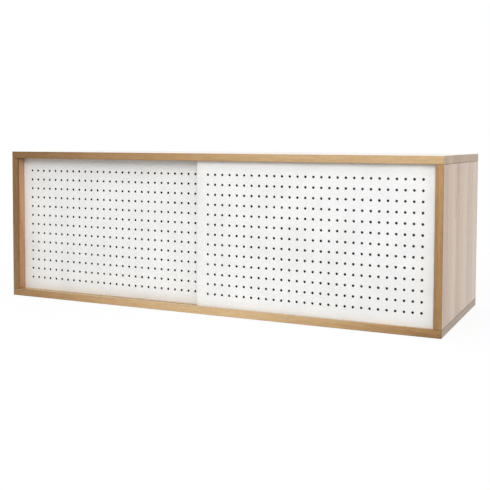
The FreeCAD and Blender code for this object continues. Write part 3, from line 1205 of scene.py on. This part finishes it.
@dataclass
class Dowels:
    """Fluted beech dowels in the joints of the boards."""

    finish: BeechFinish
    radius: float = 4 * MM
    flutes: int = 12
    corners_to_flute: int = 3
    flute_depth: float = 0.35 * MM
    chamfer: float = 1 * MM

    JOINTS: ClassVar[dict[str, int]] = {
        "top_left_dowels": 4,
        "top_right_dowels": 4,
        "bottom_left_dowels": 4,
        "bottom_right_dowels": 4,
        "partition_top_dowels": 3,
        "partition_bottom_dowels": 3,
    }

    def build(self) -> None:
        """Model one dowel and put its copies into every joint."""
        low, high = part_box("top_left_dowels")
        dowel = self.dowel(high.z - low.z)
        dowel.data.materials.append(self.finish.material())
        for node, count in self.JOINTS.items():
            low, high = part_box(node)
            x, first = low.x + self.radius, low.y + self.radius
            gap = (high.y - low.y - 2 * self.radius) / (count - 1)
            copies = [
                copy_of(dowel, f"{node}_{number}", Vector((x, first + number * gap, low.z)))
                for number in range(count)
            ]
            stand_for(join(copies, f"fluted_{node}"), node, "carcass")
        bpy.data.objects.remove(dowel, do_unlink=True)

    def dowel(self, length: float) -> Piece:
        """Model a dowel that stands on the origin.

        Args:
            length: Its length.

        Returns:
            The dowel.
        """
        step = 2 * pi / self.flutes
        bpy.ops.mesh.primitive_cylinder_add(
            vertices=self.corners_to_flute * self.flutes,
            radius=self.radius,
            depth=length,
            location=(0, 0, length / 2),
        )
        dowel = new_piece("fluted_dowel")
        settle(dowel)

        def in_flute(vert: bmesh.types.BMVert) -> bool:
            """Say whether a corner is at the bottom of a flute."""
            turns = atan2(vert.co.y, vert.co.x) / step
            return abs(turns - round(turns)) < SLIGHT

        with editing(dowel):
            select(dowel, Element.VERT, in_flute)
            factor = 1 - self.flute_depth / self.radius
            bpy.ops.transform.resize(value=(factor, factor, 1), center_override=(0, 0, 0))
            ease(dowel, lies_at(2, 0.0, length), self.chamfer)
        settle(dowel)
        return dowel


# Studio


@dataclass(frozen=True)
class SoftBox:
    """A large lamp with a soft edge, aimed at a point."""

    name: str
    place: Triple
    aim: Triple
    width: float
    height: float
    power: float
    colour: Colour = WHITE

    def hang(self) -> None:
        """Put the lamp in its place."""
        turn = (Vector(self.aim) - Vector(self.place)).to_track_quat("-Z", "Y").to_euler()
        bpy.ops.object.light_add(type="AREA", location=self.place, rotation=turn)
        lamp = bpy.context.object
        lamp.name = self.name
        lamp.data.shape = "RECTANGLE"
        lamp.data.size = self.width
        lamp.data.size_y = self.height
        lamp.data.energy = self.power
        lamp.data.color = self.colour
        lamp.visible_glossy = False
        log.info("%s: %.0f W", self.name, self.power)


@dataclass(frozen=True)
class Viewpoint:
    """Where the photograph was taken from."""

    place: Triple = (0.9746, -2.0310, 0.4308)
    tilt: float = radians(87.02)
    roll: float = radians(-0.228)
    turn: float = radians(25.22)
    lens: float = 60.73
    sensor: float = 36.0
    shift_down: float = 0.1208

    def set_up(self) -> None:
        """Add the camera and make it the scene's own."""
        bpy.ops.object.camera_add(location=self.place, rotation=(self.tilt, self.roll, self.turn))
        camera = bpy.context.object
        camera.name = "camera"
        camera.data.lens = self.lens
        camera.data.sensor_width = self.sensor
        camera.data.shift_y = -self.shift_down
        bpy.context.scene.camera = camera


@dataclass
class Studio:
    """A white room: soft lamps, an even sky and a pale floor that keeps a faint shadow.

    A paler card on the floor before the doors throws more light back to their foot.
    """

    lamps: tuple[SoftBox, ...]
    sky_light: float = 0.61
    floor_radius: float = 12.0
    floor_sides: int = 64
    shadow_fade: Span = (0.7, 1.5)
    shadow_share: float = 0.1
    floor_white: float = 0.9
    floor_bounce: float = 0.5
    card_place: Triple = (-0.08, -0.22, 0.0)
    card_reach: Triple = (0.5, 0.2, 1.0)
    card_bounce: float = 0.8
    card_fade: Span = (0.4, 1.0)

    def build(self) -> None:
        """Set up the floor, the sky and the lamps."""
        self.lay_floor()
        self.light_sky()
        for lamp in self.lamps:
            lamp.hang()

    @staticmethod
    def seen_straight(recipe: Wiring) -> Socket:
        """Tell apart what is looked at from what only throws light.

        Args:
            recipe: The nodes of the floor or the sky.

        Returns:
            One where the camera, a reflection or clear material looks, and zero for stray light.
        """
        light = recipe.node("LightPath").outputs
        seen = recipe.math("MAXIMUM", light["Is Camera Ray"], light["Is Glossy Ray"])
        return recipe.math("MAXIMUM", seen, light["Is Transmission Ray"])

    def lay_floor(self) -> None:
        """Lay a round floor that looks white and darkens a little in the cabinet's shadow."""
        bpy.ops.mesh.primitive_circle_add(
            vertices=self.floor_sides,
            radius=self.floor_radius,
            fill_type="TRIFAN",
            location=(0, 0, -NEAR),
        )
        floor = new_piece("studio_floor")
        recipe = Recipe("studio_floor")
        paper = recipe.node("BsdfDiffuse", (*[self.floor_white] * 3, 1.0)).outputs[0]
        on_card = recipe.node(
            "Mapping", recipe.place(), self.card_place, None, self.card_reach, vector_type="TEXTURE"
        ).outputs[0]
        from_card = recipe.node("VectorMath", on_card, operation="LENGTH").outputs["Value"]
        bounce = recipe.spread(from_card, *self.card_fade, self.card_bounce, self.floor_bounce)
        stray = recipe.node("BsdfDiffuse", bounce).outputs[0]
        white = recipe.node("Emission", (*WHITE, 1.0), 1.0).outputs[0]
        distance = recipe.node("VectorMath", recipe.place(), operation="LENGTH").outputs["Value"]
        share = recipe.spread(distance, *self.shadow_fade, self.shadow_share, 0.0)
        seen = recipe.node("MixShader", share, white, paper).outputs[0]
        whole = recipe.node("MixShader", self.seen_straight(recipe), stray, seen).outputs[0]
        recipe.feed(recipe.tree.nodes["Material Output"].inputs["Surface"], whole)
        floor.data.materials.append(recipe.material)

    def light_sky(self) -> None:
        """Light the room evenly, with a background that looks white."""
        world = bpy.data.worlds.new("studio_sky")
        world.use_nodes = True
        bpy.context.scene.world = world
        sky = Wiring(world.node_tree)
        background = sky.tree.nodes["Background"].inputs
        sky.feed(background["Color"], (*WHITE, 1.0))
        strength = sky.spread(self.seen_straight(sky), 0.0, 1.0, self.sky_light, 1.0)
        sky.feed(background["Strength"], strength)


LAMPS = (
    SoftBox("key_lamp", (0.9, -3.0, 2.1), (0.3, 0.0, 0.3), 2.4, 1.8, 58.0),
    SoftBox("high_lamp", (0.2, -1.6, 3.2), (0.1, 0.0, 0.2), 2.4, 1.2, 17.5),
    SoftBox("side_lamp", (3.0, -1.0, 1.4), (0.0, 0.0, 0.2), 1.5, 1.5, 18.0, (0.76, 0.86, 1.0)),
    SoftBox("back_lamp", (-0.8, 3.0, 1.8), (0.0, 0.0, 0.2), 2.0, 2.0, 20.0),
    SoftBox("left_lamp", (-2.8, 1.4, 1.4), (-0.6, 0.2, 0.2), 1.5, 1.5, 18.0),
)


def main() -> None:
    """Load the frame, build and dress each sub-assembly, and set up the studio."""
    logging.basicConfig(level=logging.INFO, format="%(name)s: %(message)s")
    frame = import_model()

    Viewpoint().set_up()
    zinc = ZincFinish()
    Carcass(OakFinish(), frame["nodes"]).dress()
    SlidingDoors(LacquerFinish(), FibreAndShadeFinish()).build()
    TrackStrips(WaxyFinish()).build()
    BackScrews(zinc).build()
    ShelfPins(zinc).build()
    Dowels(BeechFinish()).build()
    Studio(LAMPS).build()

    bpy.context.scene.view_settings.view_transform = "Standard"


if __name__ == "__main__":
    main()
